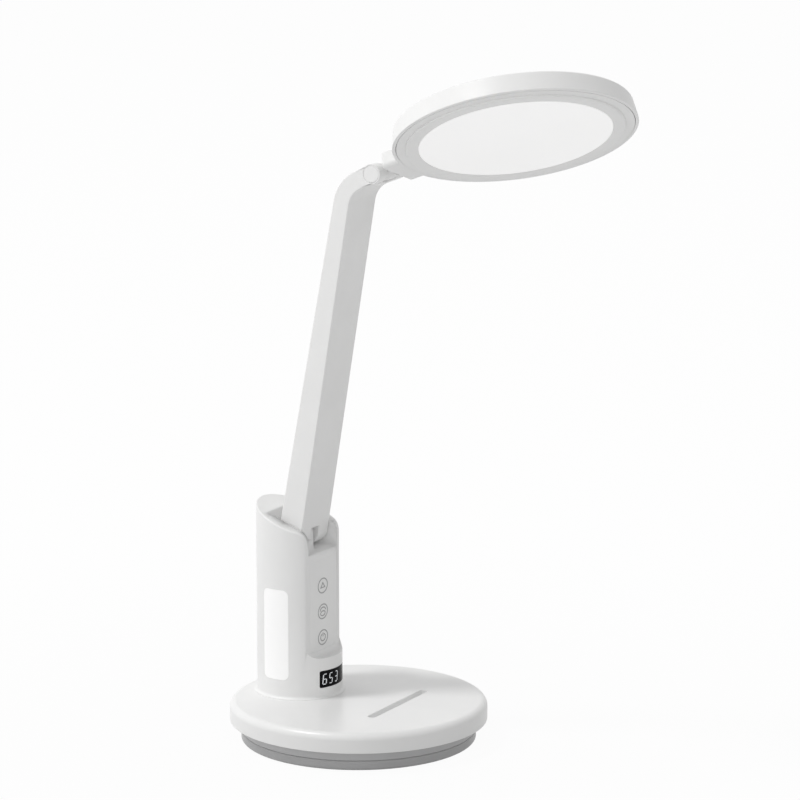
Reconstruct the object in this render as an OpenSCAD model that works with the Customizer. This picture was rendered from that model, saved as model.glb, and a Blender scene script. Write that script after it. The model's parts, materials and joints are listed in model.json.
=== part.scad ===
// Rechargeable desk lamp: a round weighted base, a column with clock, touch keys and
// night light, a folding arm, and a round edge-lit head on a tilting, turning neck.
// Millimetres. Origin at the centre of the underside, +Z up, the front of the lamp at -Y.

/* [Base] */
// Diameter of the white base cover
base_d = 150; // [140:1:170]
// Height of the top of the base above the table
base_h = 23.7; // [22:0.1:28]
// Height of the cover's outer skirt
skirt_h = 11.6; // [11:0.1:12]
// Wall thickness of the base cover
cover_wall = 2.4; // [2:0.1:3]
// Radius of the rounded top edge of the cover
cover_edge_r = 4.2; // [3:0.1:5]
// Distance of the grey lower shell's side inside the cover's
tray_inset = 6.6; // [5.6:0.1:9]
// Amount by which the grey lower shell widens up to the cover, on the radius
tray_flare = 1.6; // [0.8:0.1:2]
// Wall thickness of the grey lower shell
tray_wall = 2.6; // [2:0.1:3]
// Height of the parting line between tray and bottom plate
parting_z = 6; // [5.4:0.1:6.6]
// Radius of the rounded edge at the foot of the bottom plate
bottom_edge_r = 1.6; // [1.2:0.1:2.4]
// Distance of the non-slip pad's edge inside the lower shell's side
pad_inset = 7.4; // [5.4:0.1:10.4]
// Thickness of the non-slip pad
pad_t = 1.6; // [1.4:0.1:2]
// Height by which the pad stands below the bottom plate
pad_proud = 0.3; // [0.2:0.1:0.8]
// Gap between the steel ballast plate and the screw posts round it
weight_gap = 0.5; // [0.4:0.1:4]
// Thickness of the steel ballast plate
weight_t = 5; // [3:0.5:6]
// Thickness of the bottom plate over the pad
floor_t = 1.8; // [1.4:0.1:2.2]
// Distance of the base screws inside the lower shell's side
screw_inset = 9.9; // [8.4:0.1:11.4]

/* [Phone groove] */
// Length of the groove that holds a phone
groove_len = 65; // [55:1:75]
// Width of the groove
groove_w = 5; // [4.8:0.1:6]
// Depth of the groove
groove_depth = 3.2; // [3.1:0.1:4]
// Place of the groove, front to back
groove_y = -26.3; // [-32:0.1:-22]
// Wall of the trough under the groove
groove_wall = 1.4; // [1.2:0.1:1.8]

/* [Charging port] */
// Width of the port shell
port_w = 8.9; // [8.6:0.1:9.2]
// Height of the port shell
port_h = 3.3; // [3.1:0.1:3.5]
// Length of the port shell
port_len = 7.4; // [7:0.1:8]
// Thickness of the port's metal wall
port_wall = 0.3; // [0.25:0.05:0.35]
// Width of the main board
board_w = 34; // [30:1:40]
// Length of the main board, front to back
board_len = 30; // [26:1:34]
// Thickness of every circuit board
board_t = 1.6; // [1.2:0.1:1.8]

/* [Column] */
// Diameter of the column
col_d = 50; // [48:0.5:53]
// Distance of the column's axis in from the rear edge of the base
col_inset = 35.2; // [33:0.1:38]
// Wall thickness of the column
col_wall = 2.2; // [2:0.1:2.6]
// Distance from the column's axis to its flat front
flat_depth = 15.8; // [15:0.1:17]
// Height of the foot of the flat front
flat_z = 47.5; // [46:0.1:50]
// Radius of the lower corners of the flat front
flat_corner_r = 9; // [6:0.5:11]
// Radius of the hollow ramp at the foot of the flat front
flat_ramp_r = 4.3; // [4:0.1:4.5]
// Height of the sloped top at the back of the column
top_back_z = 137.5; // [134:0.1:140]
// Height of the sloped top above the flat front
top_front_z = 121.4; // [119:0.1:124]
// Radius of the hollow of the sloped top
top_dish_r = 500; // [300:10:900]
// Radius of the rounded front corners of the column's cheeks
cheek_r = 7; // [5:0.5:8]
// Radius of the fillet at the foot of the column
foot_fillet_r = 1.7; // [1:0.1:2.5]

/* [Arm pocket] */
// Width of the slot that the arm folds in
slot_w = 32; // [31.6:0.1:33]
// Distance of the back of the slot behind the column's axis
slot_back = 10.2; // [9:0.1:12]
// Height of the floor of the pocket
pocket_z = 108.4; // [107:0.1:109]

/* [Keys] */
// Height of the lowest touch key
key_z = 56.8; // [55:0.1:60]
// Pitch of the touch keys
key_pitch = 15.5; // [14:0.1:16.5]
// Outer width of a key ring
key_w = 11.1; // [9:0.1:13]
// Outer height of a key ring
key_h = 9.2; // [8:0.1:11]
// Width of the printed lines
key_line = 0.65; // [0.5:0.05:0.8]
// Thickness of the printed lines
print_t = 0.12; // [0.08:0.02:0.2]
// Width of the control panel
panel_w = 30; // [26:0.5:32]
// Height of the foot of the control panel
panel_z = 50; // [49.5:0.1:51]
// Height of the control panel
panel_h = 54; // [50:0.5:56]
// Thickness of the control panel
panel_t = 1.4; // [1.2:0.1:1.6]

/* [Display] */
// Angle that the display covers each side of the front
display_angle = 31.4; // [29:0.2:36]
// Height of the foot of the display
display_z = 29.8; // [28:0.1:30.4]
// Height of the display
display_h = 10; // [9:0.1:11]
// Corner radius of the display
display_corner_r = 0.9; // [0.5:0.1:2]
// Height of a digit
digit_h = 6.4; // [5:0.1:7]
// Width of a digit
digit_w = 2.7; // [2.4:0.1:3.2]
// Stroke of a digit's bars
digit_bar = 0.45; // [0.4:0.05:0.7]

/* [Night light] */
// Direction of the night light, from the front towards -X
night_angle = 94.5; // [92:0.5:100]
// Width of the night light window
night_w = 17.1; // [15:0.1:19]
// Height of the foot of the night light window
night_z = 35.1; // [34:0.1:40]
// Height of the night light window
night_h = 53.5; // [46:0.1:56]
// Corner radius of the night light window
night_corner_r = 3.4; // [2:0.1:4]
// Number of light chips behind the night light window
night_leds = 6; // [4:1:8]

/* [Battery] */
// Diameter of the battery cell
cell_d = 18.4; // [18:0.1:18.8]
// Length of the battery cell
cell_len = 65.2; // [64:0.1:67]
// Wall thickness of the battery holder
holder_wall = 1.6; // [1.2:0.1:2]

/* [Arm] */
// Width of the arm
arm_w = 30.8; // [30:0.1:31.2]
// Wall thickness of the arm
arm_wall = 2.2; // [2:0.1:2.6]
// Height of the lower pivot
pivot_z = 118.2; // [117.5:0.1:119]
// Distance of the lower pivot in front of the column's axis
pivot_fwd = 2.6; // [1.5:0.1:3]
// Radius of the rounded lower end of the arm
arm_end_r = 7.7; // [7:0.1:8.2]
// Distance of the bend's centre in front of the lower pivot
bend_fwd = 53.4; // [47:0.1:62]
// Height of the bend's centre above the lower pivot
bend_up = 193.6; // [150:0.1:222]
// Outer radius of the bend
bend_outer_r = 23.6; // [22.6:0.1:24.2]
// Inner radius of the bend
bend_inner_r = 13.3; // [12.8:0.1:14]
// Distance of the tip pivot in front of the bend's centre
tip_fwd = 1.4; // [1:0.1:3]
// Height of the tip pivot above the bend's centre
tip_up = 20.8; // [20:0.1:22]
// Radius of the rounded ears at the arm's tip
ear_r = 5.6; // [5.2:0.1:5.8]
// Radius of the pivot pins
pin_r = 2; // [1.6:0.1:2.4]
// Half thickness of the lug that carries the arm
lug_half = 3.8; // [3.4:0.1:4.2]
// Radius of the top of the lug
lug_r = 5; // [4.4:0.1:5.2]
// Thickness of the friction washers
washer_t = 0.5; // [0.4:0.05:0.6]
// Diameter of the round caps over the tip pin
cap_d = 9.6; // [8.6:0.1:10]
// Thickness of the caps over the tip pin
cap_t = 1.2; // [1:0.1:1.6]
// Distance along the arm's back from its foot to the wiring hollow
hollow_from = 24; // [20:0.5:30]
// Thickness of the cover on the arm's back
cover_t = 2; // [1.6:0.1:2.4]

/* [Neck] */
// Half thickness of the tongue at the arm's tip
tongue_half = 6; // [5.5:0.1:6.4]
// Radius of the tongue and of the neck
neck_r = 5; // [4.4:0.1:5.2]
// Distance of the head's rear end from the tip pivot
neck_len = 8.4; // [8:0.1:10]
// Radius of the turning spigot
spigot_r = 2.4; // [2:0.1:2.6]
// Length of the turning spigot
spigot_len = 15.6; // [15:0.1:17]
// Wall thickness of the bush round the spigot
bush_wall = 1.2; // [1:0.1:1.3]
// Upward slope of the neck
neck_slope = 20; // [10:1:30]
// Angle by which the head is turned about the neck
head_turn = 20; // [-20:1:20]

/* [Head] */
// Diameter of the rim's lower lip
head_d = 136.6; // [128:0.2:146]
// Amount by which the rim narrows towards its top, on the diameter
head_taper = 3.8; // [2:0.2:5]
// Distance of the head's centre from the tip pivot
head_reach = 87.1; // [86:0.1:90]
// Height of the top of the head above the neck's axis
head_top = 4.9; // [4.7:0.1:5.6]
// Depth of the rim's lip below the neck's axis
rim_drop = 6.5; // [6:0.1:6.8]
// Wall thickness of the head
head_wall = 2; // [1.8:0.1:2.2]
// Radius of the rounded top edge of the head
head_edge_r = 1.6; // [1:0.1:1.8]
// Width of the tab at the rear of the head
tab_w = 30.8; // [26:0.2:33]
// Depth of the underside of the tab below the neck's axis
tab_drop = 4.6; // [4.2:0.1:5.4]
// Radius of the rounded lower edges of the tab
tab_edge_r = 3; // [1:0.1:4]
// Radius of the fillets between tab and rim
tab_fillet_r = 6; // [4:0.5:8]
// Depth of the diffuser's face below the neck's axis
face_drop = 7.8; // [7.4:0.1:8.1]
// Diameter of the diffuser's face
diffuser_d = 107.6; // [100:0.2:110]
// Width of the bezel's outer band, beside the rim
band_w = 5; // [4:0.1:6]
// Height by which the bezel's inner ring stands below its outer band
band_step = 1.1; // [0.8:0.1:1.3]
// Thickness of the diffuser's flange
flange_t = 1; // [0.8:0.1:1.2]
// Width of the diffuser's flange
flange_w = 2.8; // [2.2:0.1:3.2]
// Thickness of the light guide
guide_t = 3; // [2.5:0.1:3.2]
// Thickness of the reflector sheet
reflector_t = 0.4; // [0.3:0.05:0.5]
// Number of light chips round the light guide
head_leds = 36; // [24:2:48]

/* [Screws] */
// Radius of the screw shanks
screw_r = 1.3; // [1.1:0.1:1.4]
// Radius of the screw heads
screw_head_r = 2.5; // [2.2:0.1:2.8]
// Height of the screw heads
screw_head_h = 1.6; // [1.4:0.1:1.8]
// Length of the screw shanks
screw_len = 7; // [6:0.5:8]
// Radius of the screw bosses
boss_r = 3; // [2.8:0.1:3.4]

/* [Clearances] */
// Radial clearance of running pins
run_gap = 0.05; // [0.02:0.01:0.08]
// Clearance between fixed pieces that fit in each other
fit_gap = 0.1; // [0.06:0.02:0.16]
// Clearance between pieces that move past each other
move_gap = 0.4; // [0.3:0.05:0.5]

/* [Hidden] */
$fn = 64;

white = [0.93, 0.93, 0.92];
grey = [0.55, 0.55, 0.55];
black = [0.03, 0.03, 0.035];
steel = [0.7, 0.71, 0.73];
board_green = [0.1, 0.35, 0.2];
milk = [0.98, 0.98, 0.96];
far = 200;

// Base levels and radii
base_r = base_d / 2;
tray_r = base_r - tray_inset;
pad_r = tray_r - pad_inset;
base_screw_pcr = tray_r - screw_inset;
skirt_z = base_h - skirt_h;
skirt_in_r = base_r - cover_wall;
ceiling_z = base_h - cover_wall;
bottom_z = pad_proud;
bottom_floor_z = pad_t + floor_t;
rail_z = skirt_z + fit_gap;
rail_t = 2;
rail_top = rail_z + rail_t;
board_z = rail_top;
board_rear = sqrt(pow(skirt_in_r, 2) - pow(board_w / 2, 2)) - move_gap;
board_y = board_rear - board_len;
screw_z = pad_t + screw_head_h;
base_screw_angles = [45, 135, 225, 315];
post_r = boss_r + 1;
weight_r = base_screw_pcr - post_r - weight_gap;
shelf_len = board_len - 6;
wire_hole_r = 5;
port_inset = 0.4;
port_z = board_z + board_t + port_h / 2;

// Column levels and radii
col_r = col_d / 2;
col_y = base_r - col_inset;
col_in_r = col_r - col_wall;
flat_y = col_y - flat_depth;
slot_y = col_y + slot_back;
pocket_t = 2.4;
column_screw_angles = [-20, 90, 200];
column_screw_pcr = col_in_r - boss_r + 0.4;
key_heights = [for (i = [0:2]) key_z + i * key_pitch];
night_depth = 2;
night_r = col_in_r - night_depth;
holder_r = cell_d / 2 + fit_gap;
holder_floor_t = 2;
cell_y = col_y + column_screw_pcr - boss_r - holder_r - holder_wall - move_gap;
panel_corner_r = 6;
panel_rim = 2;
touch_inset = 4;

// Arm points in the side view, as [y, z]
pivot = [col_y - pivot_fwd, pivot_z];
bend = pivot + [-bend_fwd, bend_up];
tip = bend + [-tip_fwd, tip_up];
notch_half = lug_half + washer_t + 2 * fit_gap;
stop_fwd = 11;
stop_deep = 5.2;
stop_lean = 2.2;
stop_h = 7.3;
stop_gap = 0.25;
fold_max = 30;
clevis_half = tongue_half + washer_t + 2 * fit_gap;

function unit(a) = [cos(a), sin(a)];
function dir(a, b) = atan2(b[1] - a[1], b[0] - a[0]);
// Direction of the normal of a line that touches two circles. A negative radius
// means that the line passes the circle on its other side.
function touch(a, ra, b, rb, side) = dir(a, b) + side * acos((ra - rb) / norm(b - a));

back_n = touch(pivot, arm_end_r, bend, bend_outer_r, -1);
front_n = touch(pivot, arm_end_r, bend, -bend_inner_r, 1);
over_n = touch(bend, bend_outer_r, tip, ear_r, -1);
under_n = touch(bend, bend_inner_r, tip, -ear_r, -1);
back_foot = pivot + arm_end_r * unit(back_n);
back_head = bend + bend_outer_r * unit(back_n);
shaft_len = norm(back_head - back_foot);
// Thickness of the arm's shaft, square to its back, at a distance s up the back
function shaft_t(s) = 2 * arm_end_r + s * tan(front_n - back_n);

// Hollow top of the column in the side view, and the round front corner that runs into it
dish_front = [flat_y, top_front_z];
dish_back = [col_y + col_r, top_back_z];
dish_half = norm(dish_back - dish_front) / 2;
dish_rise = sqrt(pow(top_dish_r, 2) - pow(dish_half, 2));
dish_centre = (dish_front + dish_back) / 2 + dish_rise * unit(dir(dish_front, dish_back) + 90);
cheek_y = flat_y + cheek_r;
cheek_sink = sqrt(pow(top_dish_r + cheek_r, 2) - pow(cheek_y - dish_centre[0], 2));
cheek_c = [cheek_y, dish_centre[1] - cheek_sink];
cheek_end = dish_centre + top_dish_r * unit(dir(dish_centre, cheek_c));

// Places along the arm's back
hollow_to = shaft_len - 4;
cover_from = hollow_from - 3;
cover_to = shaft_len - 1;
arm_screw_places = [hollow_from + 8, hollow_to - 8];
arm_screw_len = 4;
arm_screw_head_h = 1;
arm_screw_sink = 1.2;
cable_r = 1.4;
cable_x = 7;

// Screws under the lower hinge
lug_screw_r = screw_r - 0.3;
lug_screw_head_r = 2.1;
lug_screw_head_h = 1.2;
lug_screw_depth = 3;
lug_screw_places = [pivot[0] - 2.4, pivot[0] + 2.4];

// Snap ring on the neck's spigot
clip_t = 0.8;
clip_groove = 0.6;
clip_gap = 2.4;
clip_at = neck_len + spigot_len - 2;

// Levels in the head, above the neck's axis
head_r = head_d / 2;
head_slope = atan2(head_taper / 2, head_top + rim_drop);
head_in_r = head_r - head_wall;
head_in_top_r = head_in_r - head_taper / 2;
head_ceiling = head_top - head_wall;
face_z = -face_drop;
diffuser_r = diffuser_d / 2;
flange_depth = 1.4;
flange_z = face_z + flange_depth;
flange_r = diffuser_r + flange_w;
guide_z = flange_z + flange_t;
guide_r = flange_r + 4 * fit_gap;
reflector_z = guide_z + guide_t;
chip_t = 0.8;
chip_w = 2.8;
chip_h = 1.8;
strip_t = 0.6;
strip_r = guide_r + fit_gap + chip_t;
wall_in_r = strip_r + strip_t + fit_gap;
wall_t = 1.4;
bezel_r = head_in_r - 3 * fit_gap;
band_in_r = bezel_r - band_w;
bezel_t = 1.6;
tab_half = tab_w / 2;
tab_sink = 0.3;
tab_top = head_top - tab_sink;
tab_corner_r = 1.5;
tab_h = tab_top + tab_drop;

// Lays a drawing of the side view, [y, z], across the lamp, centred on x = 0
module across(w) {
    rotate([90, 0, 90]) translate([0, 0, -w / 2]) linear_extrude(w) children();
}

// Cylinder along X, centred on x = 0
module bar_x(r, w) {
    rotate([0, 90, 0]) cylinder(r = r, h = w, center = true);
}

// Cylinder along -Y, from y = -a to y = -b
module bar_fwd(r, a, b) {
    translate([0, -a, 0]) rotate([90, 0, 0]) cylinder(r = r, h = b - a);
}

module at_pivot() {
    translate([0, pivot[0], pivot[1]]) children();
}

module at_tip() {
    translate([0, tip[0], tip[1]]) children();
}

// Frame of the arm's back face: Z up the back, Y out of it
module on_arm_back() {
    translate([0, back_foot[0], back_foot[1]]) rotate([back_n, 0, 0]) children();
}

// Frame of the neck: -Y along the neck, away from the arm
module on_neck() {
    at_tip() rotate([-neck_slope, 0, 0]) children();
}

// Frame of the head: the neck's frame, turned about the neck
module on_head() {
    on_neck() rotate([0, head_turn, 0]) children();
}

// Frame of the head's round parts
module on_disc() {
    on_head() translate([0, -head_reach, 0]) children();
}

module on_column() {
    translate([0, col_y, 0]) children();
}

// Rectangle with round corners, from its lower left corner
module round_box(w, h, r) {
    translate([r, 0]) square([w - 2 * r, h]);
    translate([0, r]) square([w, h - 2 * r]);
    for (x = [r, w - r], y = [r, h - r]) translate([x, y]) circle(r);
}

// Half section of a disc with a round upper edge
module round_top_disc(r, low, top, edge) {
    square_h = top - low;
    translate([0, low]) square([r - edge, square_h]);
    translate([0, low]) square([r, square_h - edge]);
    translate([r - edge, top - edge]) circle(edge);
}

// Half section of a disc with a round lower edge
module round_foot_disc(r, low, top, edge) {
    mirror([0, 1]) round_top_disc(r, -top, -low, edge);
}

module ring(r_out, r_in, low, top) {
    translate([0, 0, low]) difference() {
        cylinder(r = r_out, h = top - low);
        translate([0, 0, -1]) cylinder(r = r_in, h = top - low + 2);
    }
}

module at_base_screws() {
    for (a = base_screw_angles) rotate([0, 0, a]) translate([base_screw_pcr, 0, 0]) children();
}

module at_column_screws() {
    on_column() for (a = column_screw_angles) {
        rotate([0, 0, a]) translate([column_screw_pcr, 0, 0]) children();
    }
}

// Screw with its head below z = 0 and its shank above
module screw() {
    translate([0, 0, -screw_head_h]) difference() {
        cylinder(r = screw_head_r, h = screw_head_h);
        translate([0, 0, -1]) cylinder(r = screw_head_r * 0.5, h = 1.7, $fn = 6);
    }
    translate([0, 0, -0.01]) cylinder(r = screw_r, h = screw_len + 0.01);
}

// Base

module base_pad() {
    color([0.2, 0.2, 0.2]) cylinder(r = pad_r, h = pad_t);
}

module base_bottom() {
    color(grey) difference() {
        rotate_extrude() round_foot_disc(tray_r, bottom_z, parting_z, bottom_edge_r);
        translate([0, 0, -1]) cylinder(r = pad_r + fit_gap, h = pad_t + 1);
        difference() {
            translate([0, 0, bottom_floor_z]) cylinder(r = tray_r - tray_wall, h = far);
            at_base_screws() cylinder(r = post_r, h = parting_z);
        }
        at_base_screws() {
            cylinder(r = screw_r + fit_gap, h = far);
            cylinder(r = screw_head_r + fit_gap, h = screw_z);
        }
    }
}

module tray_side() {
    in_r = tray_r - tray_wall;
    out_r = tray_r + tray_flare;
    rotate_extrude() polygon([
        [in_r, parting_z], [tray_r, parting_z], [out_r, skirt_z], [out_r, rail_top], [in_r, rail_top]
    ]);
}

module base_tray() {
    color(grey) difference() {
        union() {
            tray_side();
            ring(skirt_in_r - fit_gap, base_screw_pcr - boss_r, rail_z, rail_top);
            at_base_screws() translate([0, 0, parting_z]) cylinder(r = boss_r, h = rail_top - parting_z);
            translate([-board_w / 2, board_y, rail_z]) cube([board_w, shelf_len, rail_t]);
        }
        at_base_screws() cylinder(r = screw_r + fit_gap, h = far);
        groove_shape(groove_len + 2 * groove_wall + 2, groove_w + 2 * groove_wall + 2, -1, far);
    }
}

module base_weight() {
    color(steel) translate([0, 0, bottom_floor_z]) cylinder(r = weight_r, h = weight_t);
}

module groove_shape(len, w, low, top) {
    translate([-len / 2, groove_y - w / 2, low]) linear_extrude(top - low) {
        translate([w / 2, 0]) square([len - w, w]);
        for (x = [w / 2, len - w / 2]) translate([x, w / 2]) circle(w / 2);
    }
}

// Channel with upright sides and a half-round floor
module groove_channel() {
    r = groove_w / 2;
    reach = groove_len / 2 - r;
    round_z = base_h - groove_depth + r;
    groove_shape(groove_len, groove_w, round_z, far);
    translate([0, groove_y, round_z]) {
        bar_x(r, 2 * reach);
        for (x = [-reach, reach]) translate([x, 0, 0]) sphere(r);
    }
}

module base_cover() {
    trough_z = base_h - groove_depth - groove_wall;
    color(white) difference() {
        union() {
            difference() {
                rotate_extrude() round_top_disc(base_r, skirt_z, base_h, cover_edge_r);
                translate([0, 0, skirt_z - 1]) cylinder(r = skirt_in_r, h = ceiling_z - skirt_z + 1);
            }
            groove_shape(groove_len + 2 * groove_wall, groove_w + 2 * groove_wall, trough_z, base_h - 1);
            at_base_screws() translate([0, 0, rail_top]) cylinder(r = boss_r, h = base_h - 1 - rail_top);
        }
        groove_channel();
        at_base_screws() translate([0, 0, skirt_z]) cylinder(r = screw_r, h = base_h - 1.2 - skirt_z);
        at_column_screws() translate([0, 0, skirt_z]) cylinder(r = screw_r + fit_gap, h = far);
        on_column() translate([0, 0, skirt_z]) cylinder(r = wire_hole_r, h = far);
        translate([0, base_r + 1, port_z])
            port_outline(port_w + 4 * fit_gap, port_h + 4 * fit_gap, 2 * cover_wall + 4);
    }
}

module base_screws() {
    color(steel) at_base_screws() translate([0, 0, screw_z]) screw();
}

// Charging electronics

// Flat oval along -Y, from the origin
module port_outline(w, h, len) {
    rotate([90, 0, 0]) linear_extrude(len) translate([-w / 2, -h / 2]) {
        translate([h / 2, 0]) square([w - h, h]);
        for (x = [h / 2, w - h / 2]) translate([x, h / 2]) circle(h / 2);
    }
}

module main_board() {
    color(board_green) translate([-board_w / 2, board_y, board_z]) cube([board_w, board_len, board_t]);
}

module charge_port() {
    tongue_w = port_w - 2.3;
    tongue_h = 0.7;
    color(steel) translate([0, base_r - port_inset, port_z]) {
        difference() {
            port_outline(port_w, port_h, port_len);
            translate([0, 1, 0]) port_outline(port_w - 2 * port_wall, port_h - 2 * port_wall, port_len);
        }
        translate([-tongue_w / 2, -port_len, -tongue_h / 2]) cube([tongue_w, port_len - 1, tongue_h]);
    }
}

// Column

// Region in the side view that lies above the sloped top, lowered by drop
module above_top(drop) {
    translate(dish_centre - [0, drop]) circle(top_dish_r, $fn = 256);
    translate([col_y - 2 * col_r, top_back_z]) square([4 * col_r, far]);
}

// Piece of the side view that the round front corner of the cheeks takes away
module cheek_corner() {
    difference() {
        translate([flat_y - 1, cheek_c[1]]) square([cheek_end[0] - flat_y + 1, cheek_r + 4]);
        translate(cheek_c) circle(cheek_r, $fn = 128);
    }
}

// Space in front of the flat, with its round lower corners and its ramp
module before_flat(depth) {
    half = sqrt(pow(col_r, 2) - pow(flat_depth, 2)) + 1.2;
    intersection() {
        across(far) difference() {
            translate([flat_y - far + depth, flat_z]) square([far, far]);
            translate([flat_y + depth - flat_ramp_r, flat_z]) difference() {
                square(flat_ramp_r + 1);
                translate([0, flat_ramp_r]) circle(flat_ramp_r);
                translate([-1, flat_ramp_r]) square(far);
            }
        }
        translate([0, flat_y + depth + 1, 0]) rotate([90, 0, 0]) linear_extrude(far)
            translate([-half, flat_z]) round_box(2 * half, far, flat_corner_r);
    }
}

module column_outside() {
    difference() {
        on_column() translate([0, 0, base_h]) cylinder(r = col_r, h = top_back_z - base_h + 2);
        across(far) above_top(0);
        across(far) cheek_corner();
        before_flat(0);
    }
}

module column_inside() {
    difference() {
        on_column() translate([0, 0, base_h - 1]) cylinder(r = col_in_r, h = top_back_z);
        across(far) above_top(col_wall);
        translate([0, 0, -col_wall]) before_flat(col_wall);
        translate([-slot_w / 2 - col_wall, flat_y - far, pocket_z - pocket_t])
            cube([slot_w + 2 * col_wall, slot_back + flat_depth + col_wall + far, far]);
    }
}

module arm_slot() {
    translate([-slot_w / 2, flat_y - far, pocket_z]) cube([slot_w, slot_back + flat_depth + far, far]);
}

module panel_plate(grow, back) {
    w = panel_w + 2 * grow;
    h = panel_h + 2 * grow;
    translate([0, flat_y + back, 0]) rotate([90, 0, 0]) linear_extrude(back + 3)
        translate([-w / 2, panel_z - grow]) round_box(w, h, panel_corner_r + grow);
}

// Curved window in the column's front, between two radii
module display_sector(grow, r_in, r_out) {
    w = 2 * col_r * sin(display_angle) + 2 * grow;
    h = display_h + 2 * grow;
    intersection() {
        on_column() ring(r_out, r_in, display_z - 1, display_z + display_h + 1);
        translate([0, flat_y, 0]) rotate([90, 0, 0]) linear_extrude(far)
            translate([-w / 2, display_z - grow]) round_box(w, h, display_corner_r + grow);
    }
}

// Frame of the night light: Y points out of the column
module on_night() {
    on_column() rotate([0, 0, 180 - night_angle]) children();
}

module night_block(grow, low, high) {
    w = night_w + 2 * grow;
    h = night_h + 2 * grow;
    on_night() translate([0, high, 0]) rotate([90, 0, 0]) linear_extrude(high - low)
        translate([-w / 2, night_z - grow]) round_box(w, h, night_corner_r + grow);
}

// Stop beside the lug: the left part of the arm's front lies on it where the fold ends
module fold_stop() {
    w = slot_w / 2 - notch_half;
    front = pivot[0] - stop_fwd;
    low = pocket_z - 0.5;
    top = pocket_z + stop_h;
    translate([-slot_w / 2 - 0.5 + w / 2, 0, 0]) across(w) intersection() {
        polygon([[front, low], [front + stop_deep, low], [front + stop_deep, top], [front + stop_lean, top]]);
        translate(pivot) rotate(front_n + fold_max) translate([arm_end_r + stop_gap, -far / 2]) square(far);
    }
}

module column_shell() {
    color(white) union() {
        difference() {
            union() {
                difference() {
                    column_outside();
                    column_inside();
                }
                on_column() translate([0, 0, base_h]) rotate_extrude() difference() {
                    translate([col_in_r, 0]) square([col_wall + foot_fillet_r, foot_fillet_r + 0.3]);
                    translate([col_r + foot_fillet_r, foot_fillet_r + 0.3]) circle(foot_fillet_r);
                }
                intersection() {
                    at_column_screws() translate([0, 0, base_h]) cylinder(r = boss_r, h = screw_len + 2);
                    on_column() translate([0, 0, base_h]) cylinder(r = col_r - 0.5, h = far);
                }
            }
            arm_slot();
            at_column_screws() translate([0, 0, base_h - 1]) cylinder(r = screw_r, h = screw_len + 1);
            panel_plate(0, panel_t);
            panel_plate(-panel_rim, col_wall + 1);
            display_sector(fit_gap, col_in_r - 1, col_r + 1);
            night_block(0, night_r - 1, col_r + 2);
            for (y = lug_screw_places) translate([0, y, pocket_z - 2 * pocket_t])
                cylinder(r = screw_r + fit_gap, h = 4 * pocket_t);
        }
        fold_stop();
    }
}

module column_screws() {
    color(steel) at_column_screws() translate([0, 0, ceiling_z]) screw();
}

module battery_holder() {
    outer_r = holder_r + holder_wall;
    holder_h = cell_len - 13;
    color([0.25, 0.25, 0.27]) translate([0, cell_y, base_h]) difference() {
        union() {
            translate([-outer_r, -holder_r, 0]) cube([2 * outer_r, 2 * holder_r, holder_floor_t]);
            cylinder(r = outer_r, h = holder_h);
        }
        translate([0, 0, holder_floor_t]) cylinder(r = holder_r, h = far);
        translate([-far / 2, -far - holder_r / 3, holder_floor_t]) cube([far, far, far]);
        translate([0, 0, -1]) cylinder(r = wire_hole_r - 1, h = holder_floor_t + 2);
    }
}

module battery_cell() {
    button_r = 3;
    button_h = 1.2;
    color([0.2, 0.45, 0.65]) translate([0, cell_y, base_h + holder_floor_t]) {
        cylinder(r = cell_d / 2, h = cell_len - button_h);
        cylinder(r = button_r, h = cell_len);
    }
}

module control_panel() {
    color(white) intersection() {
        panel_plate(0, panel_t);
        column_outside();
    }
}

// Lays a drawing on the flat front, as [x, z], standing out by print_t
module print_on_flat() {
    translate([0, flat_y, 0]) rotate([90, 0, 0]) linear_extrude(print_t) children();
}

// Power sign: an open ring and a stroke
module power_sign() {
    difference() {
        oval_line(6, 4.8);
        translate([-1, 0]) square([2, 4]);
    }
    translate([-key_line / 2, 0.4]) square([key_line, 2.4]);
}

// Light sign: an arch over a ring
module arch_sign() {
    translate([0, 0.5]) difference() {
        oval_line(6.8, 4.6);
        translate([-4, -8]) square([8, 8]);
    }
    translate([0, -1.1]) oval_line(5.8, 3.4);
}

// Alarm sign: an open triangle
module alarm_sign() {
    difference() {
        polygon([[-2.9, -1.4], [2.9, -1.4], [0, 2.3]]);
        polygon([[-1.6, -0.85], [1.6, -0.85], [0, 1.2]]);
    }
}

module oval(w, h) {
    polygon([for (a = [0:5:355]) [w / 2 * cos(a), h / 2 * sin(a)]]);
}

module oval_line(w, h) {
    difference() {
        oval(w, h);
        oval(w - 2 * key_line, h - 2 * key_line);
    }
}

module key_marks() {
    color([0.55, 0.55, 0.55]) print_on_flat() {
        for (z = key_heights) translate([0, z]) oval_line(key_w, key_h);
        translate([0, key_heights[0]]) power_sign();
        translate([0, key_heights[1]]) arch_sign();
        translate([0, key_heights[2]]) alarm_sign();
    }
}

module touch_board() {
    color(board_green) translate([-panel_w / 2 + touch_inset, flat_y + panel_t, panel_z + touch_inset])
        cube([panel_w - 2 * touch_inset, board_t, panel_h - 2 * touch_inset]);
}

module display_window() {
    color(black) display_sector(0, col_in_r + 0.2, col_r);
}

// Bar of a digit from [x0, z0] to [x1, z1], leaning with the digit
module bar(x0, z0, x1, z1) {
    lean = 0.1;
    low = lean * z0;
    high = lean * z1;
    polygon([[x0 + low, z0], [x1 + low, z0], [x1 + high, z1], [x0 + high, z1]]);
}

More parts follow.
